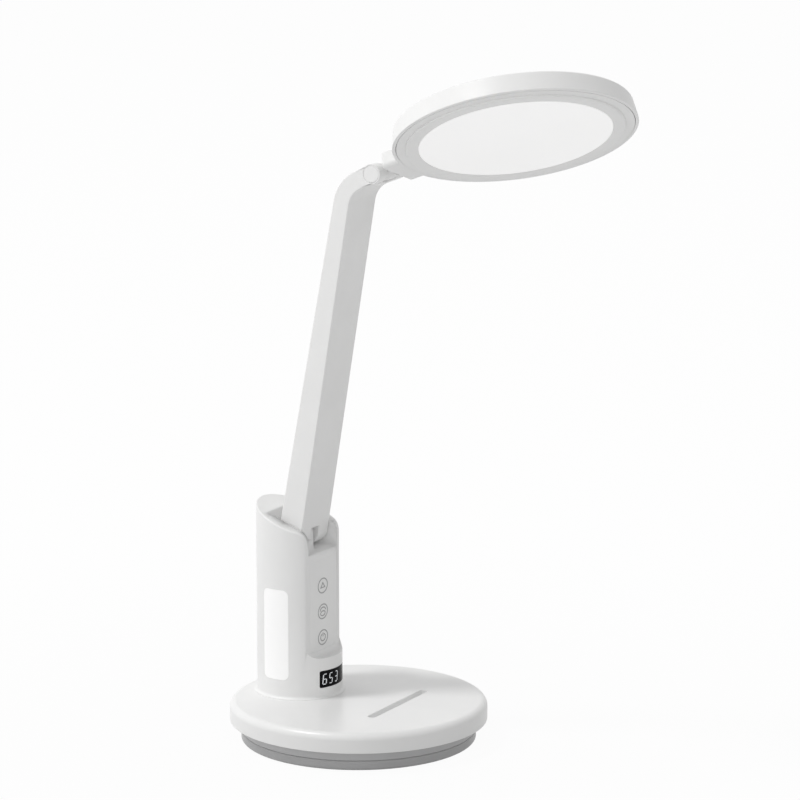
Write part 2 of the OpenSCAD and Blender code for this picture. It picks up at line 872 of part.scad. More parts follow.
// Seven bars in the order top, upper right, lower right, bottom, lower left, upper left, middle
module digit(on) {
    w = digit_w;
    h = digit_h;
    t = digit_bar;
    g = 0.08;
    m = h / 2;
    if (on[0]) bar(t + g, h - t, w - t - g, h);
    if (on[1]) bar(w - t, m + g, w, h - t - g);
    if (on[2]) bar(w - t, t + g, w, m - g);
    if (on[3]) bar(t + g, 0, w - t - g, t);
    if (on[4]) bar(0, t + g, t, m - g);
    if (on[5]) bar(0, m + g, t, h - t - g);
    if (on[6]) bar(t + g, m - t / 2, w - t - g, m + t / 2);
}

module display_digits() {
    digit_z = display_z + (display_h - digit_h) / 2;
    six = [1, 0, 1, 1, 1, 1, 1];
    five = [1, 0, 1, 1, 0, 1, 1];
    three = [1, 1, 1, 1, 0, 0, 1];
    shown = [six, five, three];
    places = [-11.7, -7.2, -2.3];
    color("white") intersection() {
        on_column() ring(col_r + print_t, col_r, display_z, display_z + display_h);
        translate([0, flat_y, digit_z]) rotate([90, 0, 0]) linear_extrude(far) {
            for (i = [0:2]) translate([places[i], 0]) digit(shown[i]);
        }
    }
}

module display_module() {
    half = col_r * sin(display_angle) - 1.4;
    color([0.1, 0.1, 0.1]) intersection() {
        on_column() cylinder(r = col_in_r + 0.1, h = far);
        translate([-half, flat_y - far, display_z + 0.6]) cube([2 * half, far + 1, display_h - 1.2]);
    }
}

module night_light_lens() {
    color(milk) {
        intersection() {
            night_block(0, 0, col_r + 2);
            on_column() ring(col_r, col_in_r, 0, far);
        }
        difference() {
            intersection() {
                night_block(-0.4, night_r, col_r);
                on_column() cylinder(r = col_in_r + 0.1, h = far);
            }
            night_block(-1.6, night_r - 1, col_r);
        }
    }
}

module night_light_board() {
    w = night_w - 0.8;
    color(board_green) on_night() translate([-w / 2, night_r - board_t, night_z + 0.4])
        cube([w, board_t, night_h - 0.8]);
}

module night_light_leds() {
    step = night_h / night_leds;
    color([0.95, 0.9, 0.6]) on_night() for (i = [0:night_leds - 1]) {
        low = night_z + (i + 0.5) * step - chip_w / 2;
        translate([-chip_w / 2, night_r, low]) cube([chip_w, chip_t, chip_w]);
    }
}

// Lower hinge

module hinge_lug() {
    color(white) difference() {
        across(2 * lug_half) {
            translate(pivot) circle(lug_r);
            translate([pivot[0] - lug_r, pocket_z]) square([2 * lug_r, pivot[1] - pocket_z]);
        }
        at_pivot() bar_x(pin_r, far);
        for (y = lug_screw_places) translate([0, y, pocket_z - 1])
            cylinder(r = lug_screw_r, h = lug_screw_depth + 1.4);
    }
}

module hinge_screws() {
    color(steel) for (y = lug_screw_places) translate([0, y, pocket_z - pocket_t]) {
        translate([0, 0, -lug_screw_head_h]) cylinder(r = lug_screw_head_r, h = lug_screw_head_h);
        translate([0, 0, -0.01]) cylinder(r = lug_screw_r, h = pocket_t + lug_screw_depth);
    }
}

module arm_pin() {
    color(steel) at_pivot() bar_x(pin_r, arm_w - 1.2);
}

module washer_pair(half) {
    for (s = [-1, 1]) translate([s * (half + fit_gap + washer_t / 2), 0, 0]) difference() {
        bar_x(pin_r + 2.4, washer_t);
        bar_x(pin_r + run_gap, washer_t + 1);
    }
}

module arm_washers() {
    color(steel) at_pivot() washer_pair(lug_half);
}

// Arm

module arm_side() {
    translate(pivot) circle(arm_end_r);
    translate(tip) circle(ear_r);
    polygon([
        back_foot,
        back_head,
        bend + bend_inner_r * unit(front_n - 180),
        pivot + arm_end_r * unit(front_n)
    ]);
    polygon([
        bend + bend_outer_r * unit(over_n),
        tip + ear_r * unit(over_n),
        tip - ear_r * unit(under_n),
        bend + bend_inner_r * unit(under_n)
    ]);
    intersection() {
        translate(bend) difference() {
            circle(bend_outer_r);
            circle(bend_inner_r);
        }
        polygon([bend, bend + 60 * unit(front_n - 180), bend + 90 * unit(40), bend + 60 * unit(under_n)]);
    }
}

// Screw axes on the arm's back, from 1 mm outside it, with Z into the arm
module at_arm_screws() {
    for (s = arm_screw_places) translate([0, 1, s]) rotate([90, 0, 0]) children();
}

// Hollow of the arm's shaft, in the frame of the arm's back
module arm_hollow() {
    rotate([90, 0, 90]) translate([0, 0, -arm_w / 2 + 2 * arm_wall]) linear_extrude(arm_w - 4 * arm_wall)
        polygon([
            [1, hollow_from],
            [arm_wall - shaft_t(hollow_from), hollow_from],
            [arm_wall - shaft_t(hollow_to), hollow_to],
            [1, hollow_to]
        ]);
}

module arm_body() {
    color(white) difference() {
        across(arm_w) arm_side();
        at_pivot() {
            bar_x(pin_r + run_gap, far);
            rotate([back_n, 0, 0]) translate([-notch_half, -far / 2, -far])
                cube([2 * notch_half, far, far + lug_r + move_gap]);
        }
        at_tip() {
            bar_x(pin_r, far);
            rotate([-neck_slope, 0, 0]) translate([-clevis_half, -far, -far / 2])
                cube([2 * clevis_half, far + neck_r + move_gap, far]);
            for (s = [-1, 1]) translate([s * arm_w / 2, 0, 0]) bar_x(cap_d / 2 + fit_gap, 2 * cap_t);
        }
        on_arm_back() {
            difference() {
                arm_hollow();
                at_arm_screws() cylinder(r = boss_r, h = far);
            }
            translate([-arm_w / 2 + arm_wall, -cover_t, cover_from])
                cube([arm_w - 2 * arm_wall, cover_t + 1, cover_to - cover_from]);
            at_arm_screws() cylinder(r = screw_r, h = arm_screw_sink + arm_screw_len + 1.4);
        }
    }
}

module arm_back_cover() {
    color(white) on_arm_back() difference() {
        translate([-arm_w / 2 + arm_wall + fit_gap, -cover_t, cover_from + fit_gap])
            cube([arm_w - 2 * arm_wall - 2 * fit_gap, cover_t, cover_to - cover_from - 2 * fit_gap]);
        at_arm_screws() {
            cylinder(r = screw_r + fit_gap, h = far);
            cylinder(r = screw_head_r + fit_gap, h = 1 + arm_screw_sink);
        }
    }
}

module arm_screws() {
    color(steel) on_arm_back() at_arm_screws() translate([0, 0, 1 + arm_screw_sink]) {
        translate([0, 0, -arm_screw_head_h]) cylinder(r = screw_head_r, h = arm_screw_head_h);
        translate([0, 0, -0.01]) cylinder(r = screw_r, h = arm_screw_len);
    }
}

module arm_cable() {
    color([0.3, 0.3, 0.3]) on_arm_back() translate([cable_x, -cover_t - cable_r - fit_gap, hollow_from + 1])
        cylinder(r = cable_r, h = hollow_to - hollow_from - 2);
}

module tip_pin() {
    color(steel) at_tip() bar_x(pin_r, arm_w - 2 * cap_t);
}

module tip_washers() {
    color(steel) at_tip() washer_pair(tongue_half);
}

module tip_caps() {
    color(white) at_tip() for (s = [-1, 1]) translate([s * (arm_w - cap_t) / 2, 0, 0])
        bar_x(cap_d / 2, cap_t);
}

// Neck

module neck_knuckle() {
    color(white) on_neck() difference() {
        union() {
            bar_x(neck_r, 2 * tongue_half);
            bar_fwd(neck_r, 0, neck_len - move_gap);
            bar_fwd(spigot_r, neck_len - move_gap - 0.01, neck_len + spigot_len);
        }
        bar_x(pin_r + run_gap, far);
        difference() {
            bar_fwd(spigot_r + 1, clip_at, clip_at + clip_t);
            bar_fwd(spigot_r - clip_groove, clip_at - 1, clip_at + 2);
        }
    }
}

module swivel_clip() {
    color(steel) on_neck() difference() {
        bar_fwd(spigot_r + bush_wall - move_gap, clip_at + fit_gap, clip_at + clip_t - fit_gap);
        bar_fwd(spigot_r - clip_groove + run_gap, clip_at - 1, clip_at + 2);
        translate([-clip_gap / 2, -far / 2, 0]) cube([clip_gap, far, far]);
    }
}

// Head

// Half section of the head's outside: a rim that narrows upwards to a round top edge
module head_section() {
    low = -rim_drop;
    centre_z = head_top - head_edge_r;
    centre_r = head_r - (centre_z - low) * tan(head_slope) - head_edge_r / cos(head_slope);
    centre = [centre_r, centre_z];
    polygon([
        [0, low],
        [head_r, low],
        centre + head_edge_r * unit(head_slope),
        [centre_r, centre_z],
        [centre_r, head_top],
        [0, head_top]
    ]);
    translate(centre) circle(head_edge_r);
}

// Plan of the tab's straight part, with round rear corners
module tab_plan() {
    corner = tab_corner_r;
    rear = -neck_len;
    len = head_reach + rear;
    translate([-tab_half + corner, -head_reach]) square([tab_w - 2 * corner, len]);
    translate([-tab_half, -head_reach]) square([tab_w, len - corner]);
    for (s = [-1, 1]) translate([s * (tab_half - corner), rear - corner]) circle(corner);
}

// Plan of the fillets between tab and rim
module tab_fillets() {
    disc = [0, -head_reach];
    across_x = tab_half + tab_fillet_r;
    fillet = [across_x, -head_reach + sqrt(pow(head_r + tab_fillet_r, 2) - pow(across_x, 2))];
    meet = disc + (fillet - disc) * head_r / (head_r + tab_fillet_r);
    for (s = [-1, 1]) difference() {
        polygon([
            [s * (tab_half - 1), fillet[1]],
            [s * fillet[0], fillet[1]],
            [s * meet[0], meet[1]],
            [s * (tab_half - 1), meet[1] - 4]
        ]);
        translate([s * fillet[0], fillet[1]]) circle(tab_fillet_r);
    }
}

// Section of the tab, as [x, z], with round lower edges
module tab_section() {
    edge_z = tab_edge_r - tab_drop;
    translate([-tab_half, edge_z]) square([tab_w, tab_h - tab_edge_r]);
    translate([-tab_half + tab_edge_r, -tab_drop]) square([tab_w - 2 * tab_edge_r, tab_h]);
    for (s = [-1, 1]) translate([s * (tab_half - tab_edge_r), edge_z]) circle(tab_edge_r);
}

module tab() {
    intersection() {
        translate([0, 0, -far / 2]) linear_extrude(far) tab_plan();
        rotate([90, 0, 0]) linear_extrude(head_reach) tab_section();
    }
    translate([0, 0, tab_edge_r - tab_drop]) linear_extrude(tab_h - tab_edge_r) tab_fillets();
}

module head_shell() {
    hollow_h = head_ceiling + rim_drop;
    color(white) difference() {
        union() {
            on_disc() rotate_extrude() head_section();
            on_head() tab();
        }
        on_disc() translate([0, 0, -rim_drop]) cylinder(r1 = head_in_r, r2 = head_in_top_r, h = hollow_h);
        on_disc() translate([0, 0, -rim_drop - 1]) cylinder(r = head_in_r, h = 1.5);
        on_neck() bar_fwd(spigot_r + bush_wall, 0, neck_len + spigot_len + 2);
    }
}

module swivel_bush() {
    color([0.85, 0.8, 0.7]) on_neck() difference() {
        bar_fwd(spigot_r + bush_wall, neck_len + 2 * fit_gap, clip_at - 1);
        bar_fwd(spigot_r + run_gap, 0, far);
    }
}

module head_bezel() {
    ring_edge = 0.9;
    band_z = face_z + band_step;
    inner_r = diffuser_r + fit_gap;
    color(white) on_disc() rotate_extrude() difference() {
        union() {
            translate([inner_r, face_z]) square([band_in_r - ring_edge - inner_r, bezel_t]);
            translate([band_in_r - ring_edge, face_z + ring_edge]) circle(ring_edge);
            translate([band_in_r - 2, face_z + ring_edge]) square([2, bezel_t]);
            translate([band_in_r - 1, band_z]) square([band_w + 1, bezel_t]);
            translate([wall_in_r, face_z + 1]) square([wall_t, reflector_z - face_z - 1]);
        }
        translate([diffuser_r, flange_z]) square([wall_in_r - diffuser_r, far]);
    }
}

module diffuser() {
    color(milk) on_disc() {
        translate([0, 0, face_z]) cylinder(r = diffuser_r, h = guide_z - face_z);
        translate([0, 0, flange_z]) cylinder(r = flange_r, h = flange_t);
    }
}

module light_guide() {
    color([0.9, 0.95, 1, 0.6]) on_disc() translate([0, 0, guide_z]) cylinder(r = guide_r, h = guide_t);
}

module reflector_sheet() {
    color("white") on_disc() translate([0, 0, reflector_z]) cylinder(r = guide_r, h = reflector_t);
}

module led_strip() {
    color(board_green) on_disc() ring(strip_r + strip_t, strip_r, flange_z, reflector_z);
}

module led_chips() {
    color([0.95, 0.9, 0.6]) on_disc() for (i = [0:head_leds - 1]) rotate([0, 0, i * 360 / head_leds]) {
        translate([guide_r + fit_gap, -chip_w / 2, guide_z + (guide_t - chip_h) / 2])
            cube([chip_t - fit_gap / 2, chip_w, chip_h]);
    }
}

module pressure_pad() {
    low = reflector_z + reflector_t;
    outer_r = guide_r - 4;
    pad_w = 16;
    color([0.35, 0.35, 0.35]) on_disc() ring(outer_r, outer_r - pad_w, low, head_ceiling);
}

base_pad();
base_bottom();
base_tray();
base_weight();
base_cover();
base_screws();
main_board();
charge_port();
column_shell();
column_screws();
battery_holder();
battery_cell();
control_panel();
key_marks();
touch_board();
display_window();
display_digits();
display_module();
night_light_lens();
night_light_board();
night_light_leds();
hinge_lug();
hinge_screws();
arm_pin();
arm_washers();
arm_body();
arm_back_cover();
arm_screws();
arm_cable();
tip_pin();
tip_washers();
tip_caps();
neck_knuckle();
swivel_clip();
head_shell();
swivel_bush();
head_bezel();
diffuser();
light_guide();
reflector_sheet();
led_strip();
led_chips();
pressure_pad();
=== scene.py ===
"""Finished look of a rechargeable desk lamp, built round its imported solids."""

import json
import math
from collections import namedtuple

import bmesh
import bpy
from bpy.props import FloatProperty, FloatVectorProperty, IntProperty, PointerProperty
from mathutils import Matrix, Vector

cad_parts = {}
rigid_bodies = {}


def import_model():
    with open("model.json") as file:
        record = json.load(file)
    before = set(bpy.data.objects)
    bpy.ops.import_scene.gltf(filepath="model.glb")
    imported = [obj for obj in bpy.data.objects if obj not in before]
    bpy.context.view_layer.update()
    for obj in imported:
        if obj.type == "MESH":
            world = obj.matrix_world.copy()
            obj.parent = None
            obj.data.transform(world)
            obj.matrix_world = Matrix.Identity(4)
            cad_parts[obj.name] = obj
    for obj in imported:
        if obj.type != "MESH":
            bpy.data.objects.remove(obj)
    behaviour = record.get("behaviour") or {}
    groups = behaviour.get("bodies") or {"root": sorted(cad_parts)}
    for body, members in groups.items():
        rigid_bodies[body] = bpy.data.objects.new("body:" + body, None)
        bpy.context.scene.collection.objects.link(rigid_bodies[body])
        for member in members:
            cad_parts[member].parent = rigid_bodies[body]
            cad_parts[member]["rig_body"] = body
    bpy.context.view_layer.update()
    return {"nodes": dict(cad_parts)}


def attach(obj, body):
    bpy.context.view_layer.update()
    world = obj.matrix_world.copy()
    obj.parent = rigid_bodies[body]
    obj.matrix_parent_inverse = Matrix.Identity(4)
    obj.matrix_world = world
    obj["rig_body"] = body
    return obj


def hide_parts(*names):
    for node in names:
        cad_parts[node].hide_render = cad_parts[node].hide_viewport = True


bl_info = {
    "name": "Rechargeable Desk Lamp",
    "version": (1, 0, 0),
    "blender": (4, 5, 0),
    "location": "View3D > Sidebar > Lamp",
    "description": "Dresses the solids of a rechargeable desk lamp and sets up its studio",
    "category": "Add Mesh",
}

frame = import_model()

MM = 0.001
BUMP_DEPTH = 0.05 * MM

# Limits for the rounding of edges: two edges run side by side above a cosine of the angle between them
MERGE_DISTANCE = 0.02 * MM
FLAT_ANGLE = math.radians(0.05)
SHARP_ANGLE = math.radians(28.0)
SMOOTH_ANGLE = math.radians(40.0)
WIDE_AREA = 4.0 * MM * MM
ROOM_PER_RADIUS = 1.3
JOINING_ROUNDS = 8
ALONGSIDE_COSINE = 0.9

# The layer in which the weighted normals look for a face's strength, and its two values
STRENGTH_LAYER = "__mod_weightednormals_faceweight"
STRONG = 16384
WEAK = -16384

# Points near the edges to round, and a height that a rounding starts above, in millimetres
PARTING_EDGE = (0.0, -68.4, 6.0)
COLUMN_RIM = (0.0, 64.8, 137.5)
FLAT_LEDGE = (0.0, 14.8, 47.5)
RAMP_TOP = 51.9
NIGHT_OPENING = (-24.9, 42.4, 35.5)
CLOCK_OPENING = (0.0, 14.8, 29.7)
HEAD_LIP = (-2.2, -165.7, 380.0)
TAB_EDGES = ((-16.9, -34.2, 350.4), (-15.2, -25.4, 338.7))
BEZEL_EDGES = ((-2.2, -163.4, 379.0), (-53.3, -97.0, 373.3))

# Places of the screws' head seats, in millimetres
BASE_SCREWS = ((41.37, 41.37, 3.2), (-41.37, 41.37, 3.2), (-41.37, -41.37, 3.2), (41.37, -41.37, 3.2))
COLUMN_SCREWS = ((18.98, 32.89, 21.3), (0.0, 60.0, 21.3), (-18.98, 32.89, 21.3))
HINGE_SCREWS = ((0.0, 34.8, 106.0), (0.0, 39.6, 106.0))
ARM_SCREWS = ((0.0, 37.54, 150.85), (0.0, 8.06, 304.24))
UPWARDS = (0.0, 0.0, 1.0)
INTO_THE_ARM = (0.0, -0.982, -0.189)

# A screw's proportions: rim and recess in shares of its head, point in shares of its shank
RIM_HEIGHT = 0.35
RIM_RADIUS = 0.86
RECESS_LENGTH = 1.15
RECESS_WIDTH = 0.3
RECESS_HEIGHT = 1.1
POINT_LENGTH = 0.2
POINT_RADIUS = 0.3
HEAD_SIDES = 40
SHANK_SIDES = 24

# The studio's floor: its tone changes from near the lamp to farther out; the darker tone near the lamp is
# painted shade, which dims the light that the floor throws back onto the lamp
FLOOR_SIZE = 20.0
FLOOR_HEIGHT = -0.1 * MM
FLOOR_REACH = (0.1, 0.5)
FLOOR_PAINTED_SHADE_TONES = (0.58, 0.86)
FLOOR_WHITENESS = 0.96
WHITE = (1.0, 1.0, 1.0, 1.0)
LIGHT_COLOUR = (1.0, 0.995, 0.985, 1.0)
SENSOR_WIDTH = 36.0


# Settings that a user would change


def colour_setting(title, note, value):
    """A colour property, in linear values."""
    return FloatVectorProperty(
        name=title, description=note, default=value, size=3, subtype="COLOR", min=0, max=1
    )


def length_setting(title, note, value):
    """A length property, in metres."""
    return FloatProperty(
        name=title, description=note, default=value, subtype="DISTANCE", unit="LENGTH", min=0
    )


def angle_setting(title, note, degrees):
    """An angle property."""
    return FloatProperty(
        name=title, description=note, default=math.radians(degrees), subtype="ANGLE", unit="ROTATION"
    )


def amount_setting(title, note, value):
    """A plain number property."""
    return FloatProperty(name=title, description=note, default=value, min=0)


class LampFinish(bpy.types.PropertyGroup):
    """Colours and gloss of the lamp's materials."""

    shell_white: colour_setting("Shell White", "Satin white plastic of the shells", (0.83, 0.83, 0.825))
    base_white: colour_setting("Base White", "Polished white of the base cover", (0.83, 0.83, 0.825))
    tray_grey: colour_setting("Tray Grey", "Pale grey of the base's tray", (0.53, 0.53, 0.533))
    bottom_grey: colour_setting("Bottom Grey", "Grey of the base's bottom plate", (0.45, 0.45, 0.453))
    print_grey: colour_setting("Print Grey", "Ink of the key signs", (0.38, 0.38, 0.385))
    display_black: colour_setting("Display Black", "Smoked window of the clock", (0.004, 0.004, 0.005))
    digit_white: colour_setting("Digit White", "Lit bars of the clock", (0.62, 0.64, 0.66))
    lens_white: colour_setting("Lens White", "Milky plastic of the lit windows", (0.84, 0.84, 0.84))
    shell_roughness: amount_setting("Shell Roughness", "Gloss of the satin shells", 0.4)
    base_roughness: amount_setting("Base Roughness", "Gloss of the base cover", 0.3)
    diffuser_glow: amount_setting("Diffuser Glow", "Light from the head's diffuser", 0.25)
    night_glow: amount_setting("Night Glow", "Light from the night light", 0.17)
    digit_glow: amount_setting("Digit Glow", "Light from the clock's digits", 0.35)


class LampEdges(bpy.types.PropertyGroup):
    """Radii of the rounded edges."""

    cover: length_setting("Cover Edge", "Edges of the base cover and its groove", 0.4 * MM)
    tray: length_setting("Tray Edge", "Edges of the base's tray", 0.6 * MM)
    bottom: length_setting("Parting Edge", "Edge of the bottom plate at the parting line", 1.0 * MM)
    column: length_setting("Column Edge", "Edges of the column", 1.0 * MM)
    ledge: length_setting("Ledge Edge", "Edges below the column's flat front", 0.35 * MM)
    window: length_setting("Window Edge", "Edges of the openings in the column", 0.12 * MM)
    arm: length_setting("Arm Edge", "Edges of the arm", 0.7 * MM)
    neck: length_setting("Neck Edge", "Edges of the neck and of the hinge's lug", 0.5 * MM)
    head: length_setting("Head Edge", "Edges of the head's shell", 0.5 * MM)
    lens: length_setting("Lens Edge", "Edges of the windows in the column", 0.12 * MM)
    trim: length_setting("Trim Edge", "Edges of the bezel and of small covers", 0.25 * MM)
    steps: IntProperty(
        name="Edge Steps", description="Faces across a rounded edge", default=3, min=1, max=6
    )


class LampStage(bpy.types.PropertyGroup):
    """Camera and lights."""

    azimuth: angle_setting("Azimuth", "Direction of the camera round the lamp, from the front", -60.69)
    elevation: angle_setting("Elevation", "Height of the camera above the horizon", 10.83)
    distance: length_setting("Distance", "From the camera to the point that it looks at", 1.88586)
    look_at: FloatVectorProperty(
        name="Look At", description="Point in the middle of the picture",
        default=(0.0, -0.0276, 0.2026), size=3, subtype="XYZ", unit="LENGTH",
    )
    lens: FloatProperty(name="Lens", description="Focal length, in millimetres", default=149.32, min=1)
    key_azimuth: angle_setting("Key Azimuth", "Direction of the soft light, from the front", -140.0)
    key_elevation: angle_setting("Key Elevation", "Height of the soft light above the horizon", 60.0)
    key_distance: length_setting("Key Distance", "From the soft light to the middle of the picture", 4.0)
    key_power: amount_setting("Key Power", "Power of the soft light, in watts", 60.0)
    key_size: length_setting("Key Size", "Width of the soft light", 0.6)
    horizon_level: amount_setting("Horizon Level", "Light of the studio's walls", 1.05)
    ceiling_level: amount_setting("Ceiling Level", "Light of the studio's ceiling", 0.39)
    left_gain: amount_setting("Left Gain", "Light that the left wall adds and the right one lacks", 0.3)


# Node helpers


def add_node(tree, kind, inputs=None, **settings):
    """A node with its settings and the values of its unlinked inputs."""
    made = tree.nodes.new(kind)
    for name, value in settings.items():
        setattr(made, name, value)
    for name, value in (inputs or {}).items():
        made.inputs[name].default_value = value
    return made


def wire(tree, *pairs):
    """Links each pair of output and input sockets."""
    for source, target in pairs:
        tree.links.new(source, target)


def new_group(name, kind, inputs, outputs):
    """A node group with named sockets, and its two end nodes."""
    group = bpy.data.node_groups.new(name, kind)
    for title, socket, value in inputs:
        made = group.interface.new_socket(title, in_out="INPUT", socket_type=socket)
        if value is not None:
            made.default_value = value
    for title, socket in outputs:
        group.interface.new_socket(title, in_out="OUTPUT", socket_type=socket)
    return group, group.nodes.new("NodeGroupInput"), group.nodes.new("NodeGroupOutput")


def rgba(colour):
    """A colour with full alpha."""
    return (*colour, 1.0)


COLOUR = "NodeSocketColor"
NUMBER = "NodeSocketFloat"
VECTOR = "NodeSocketVector"
GEOMETRY = "NodeSocketGeometry"
MATERIAL = "NodeSocketMaterial"


# Surface effects that several materials share


def moulded_grain_group():
    """Fine grain of moulded plastic, with slow drifts of its tone and gloss."""
    group, start, end = new_group(
        "Moulded Grain", "ShaderNodeTree",
        [
            ("Color", COLOUR, (0.8, 0.8, 0.8, 1)),
            ("Shade", COLOUR, (0.7, 0.7, 0.7, 1)),
            ("Grain Scale", NUMBER, 3000.0),
            ("Drift Scale", NUMBER, 25.0),
            ("Roughness", NUMBER, 0.4),
            ("Roughness Spread", NUMBER, 0.1),
        ],
        [("Color", COLOUR), ("Roughness", NUMBER), ("Height", NUMBER)],
    )
    place = add_node(group, "ShaderNodeTexCoord")
    grain = add_node(group, "ShaderNodeTexNoise", {"Detail": 2.0, "Roughness": 0.55})
    drift = add_node(group, "ShaderNodeTexNoise", {"Detail": 3.0, "Roughness": 0.6, "Distortion": 0.4})
    level = add_node(group, "ShaderNodeMapRange", {"From Min": 0.3, "From Max": 0.7})
    tone = add_node(group, "ShaderNodeMix", data_type="RGBA")
    centre = add_node(group, "ShaderNodeMath", {1: 0.5}, operation="SUBTRACT")
    gloss = add_node(group, "ShaderNodeMath", operation="MULTIPLY_ADD")
    wire(
        group,
        (place.outputs["Object"], grain.inputs["Vector"]),
        (place.outputs["Object"], drift.inputs["Vector"]),
        (start.outputs["Grain Scale"], grain.inputs["Scale"]),
        (start.outputs["Drift Scale"], drift.inputs["Scale"]),
        (drift.outputs["Fac"], level.inputs["Value"]),
        (level.outputs["Result"], tone.inputs["Factor"]),
        (start.outputs["Color"], tone.inputs["A"]),
        (start.outputs["Shade"], tone.inputs["B"]),
        (level.outputs["Result"], centre.inputs[0]),
        (centre.outputs[0], gloss.inputs[0]),
        (start.outputs["Roughness Spread"], gloss.inputs[1]),
        (start.outputs["Roughness"], gloss.inputs[2]),
        (tone.outputs["Result"], end.inputs["Color"]),
        (gloss.outputs[0], end.inputs["Roughness"]),
        (grain.outputs["Fac"], end.inputs["Height"]),
    )
    return group


def brushed_metal_group():
    """Fine lines of turned or drawn metal."""
    group, start, end = new_group(
        "Brushed Metal", "ShaderNodeTree",
        [
            ("Color", COLOUR, (0.6, 0.6, 0.6, 1)),
            ("Shade", COLOUR, (0.45, 0.45, 0.45, 1)),
            ("Line Scale", NUMBER, 4000.0),
            ("Roughness", NUMBER, 0.3),
        ],
        [("Color", COLOUR), ("Roughness", NUMBER), ("Height", NUMBER)],
    )
    place = add_node(group, "ShaderNodeTexCoord")
    stretch = add_node(group, "ShaderNodeMapping", {"Scale": (0.05, 1.0, 1.0)})
    lines = add_node(group, "ShaderNodeTexNoise", {"Detail": 3.0, "Roughness": 0.7})
    tone = add_node(group, "ShaderNodeMix", data_type="RGBA")
    gloss = add_node(group, "ShaderNodeMath", {1: 0.2}, operation="MULTIPLY_ADD")
    wire(
        group,
        (place.outputs["Object"], stretch.inputs["Vector"]),
        (stretch.outputs["Vector"], lines.inputs["Vector"]),
        (start.outputs["Line Scale"], lines.inputs["Scale"]),
        (lines.outputs["Fac"], tone.inputs["Factor"]),
        (start.outputs["Color"], tone.inputs["A"]),
        (start.outputs["Shade"], tone.inputs["B"]),
        (lines.outputs["Fac"], gloss.inputs[0]),
        (start.outputs["Roughness"], gloss.inputs[2]),
        (tone.outputs["Result"], end.inputs["Color"]),
        (gloss.outputs[0], end.inputs["Roughness"]),
        (lines.outputs["Fac"], end.inputs["Height"]),
    )
    return group


def copper_tracks_group():
    """Copper tracks under the lacquer of a circuit board."""
    group, start, end = new_group(
        "Copper Tracks", "ShaderNodeTree",
        [
            ("Color", COLOUR, (0.01, 0.12, 0.05, 1)),
            ("Track Color", COLOUR, (0.05, 0.28, 0.12, 1)),
            ("Track Scale", NUMBER, 260.0),
        ],
        [("Color", COLOUR), ("Roughness", NUMBER), ("Height", NUMBER)],
    )
    place = add_node(group, "ShaderNodeTexCoord")
    cells = add_node(group, "ShaderNodeTexVoronoi", distance="MANHATTAN", feature="F1")
    track = add_node(group, "ShaderNodeMapRange", {"From Min": 0.42, "From Max": 0.46})
    tone = add_node(group, "ShaderNodeMix", data_type="RGBA")
    gloss = add_node(group, "ShaderNodeMath", {1: -0.15, 2: 0.45}, operation="MULTIPLY_ADD")
    wire(
        group,
        (place.outputs["Object"], cells.inputs["Vector"]),
        (start.outputs["Track Scale"], cells.inputs["Scale"]),
        (cells.outputs["Distance"], track.inputs["Value"]),
        (track.outputs["Result"], tone.inputs["Factor"]),
        (start.outputs["Color"], tone.inputs["A"]),
        (start.outputs["Track Color"], tone.inputs["B"]),
        (track.outputs["Result"], gloss.inputs[0]),
        (tone.outputs["Result"], end.inputs["Color"]),
        (gloss.outputs[0], end.inputs["Roughness"]),
        (track.outputs["Result"], end.inputs["Height"]),
    )
    return group


EFFECTS = {
    "Moulded Grain": moulded_grain_group,
    "Brushed Metal": brushed_metal_group,
    "Copper Tracks": copper_tracks_group,
}


def effect(name):
    """The shared node group of that name, built when it is first needed."""
    return bpy.data.node_groups.get(name) or EFFECTS[name]()


# Materials


def surface(name, effect_name, effect_values, shader_values, bump):
    """A material whose colour, gloss and relief come from a shared effect."""
    material = bpy.data.materials.new(name)
    material.use_nodes = True
    tree = material.node_tree
    shader = tree.nodes["Principled BSDF"]
    for title, value in shader_values.items():
        shader.inputs[title].default_value = value
    detail = add_node(tree, "ShaderNodeGroup", node_tree=effect(effect_name))
    for title, value in effect_values.items():
        detail.inputs[title].default_value = value
    relief = add_node(tree, "ShaderNodeBump", {"Strength": bump, "Distance": BUMP_DEPTH})
    wire(
        tree,
        (detail.outputs["Color"], shader.inputs["Base Color"]),
        (detail.outputs["Roughness"], shader.inputs["Roughness"]),
        (detail.outputs["Height"], relief.inputs["Height"]),
        (relief.outputs["Normal"], shader.inputs["Normal"]),
    )
    return material


def plastic(name, colour, roughness, spread=0.08, grain=2600.0, bump=0.12, shade=0.975, **shader_values):
    """Moulded plastic of one colour."""
    values = {
        "Color": rgba(colour),
        "Shade": rgba([shade * part for part in colour]),
        "Grain Scale": grain,
        "Drift Scale": 28.0,
        "Roughness": roughness,
        "Roughness Spread": spread,
    }
    inputs = {
        title.replace("_", " ").title().replace("Ior", "IOR"): value
        for title, value in shader_values.items()
    }
    return surface(name, "Moulded Grain", values, inputs, bump)


def metal(name, colour, roughness, lines=4000.0):
    """Drawn or turned metal."""
    values = {
        "Color": rgba(colour),
        "Shade": rgba([0.8 * part for part in colour]),
        "Line Scale": lines,
        "Roughness": roughness,
    }
    return surface(name, "Brushed Metal", values, {"Metallic": 1.0}, 0.2)


def lit_plastic(name, colour, glow, roughness):
    """Milky plastic with light behind it."""
    return plastic(
        name, colour, roughness, spread=0.05, grain=1500.0, bump=0.08, shade=0.99,
        emission_color=LIGHT_COLOUR, emission_strength=glow,
    )


def circuit_board(name):
    """Green lacquered board."""
    return surface(name, "Copper Tracks", {}, {"Coat Weight": 0.3}, 0.3)


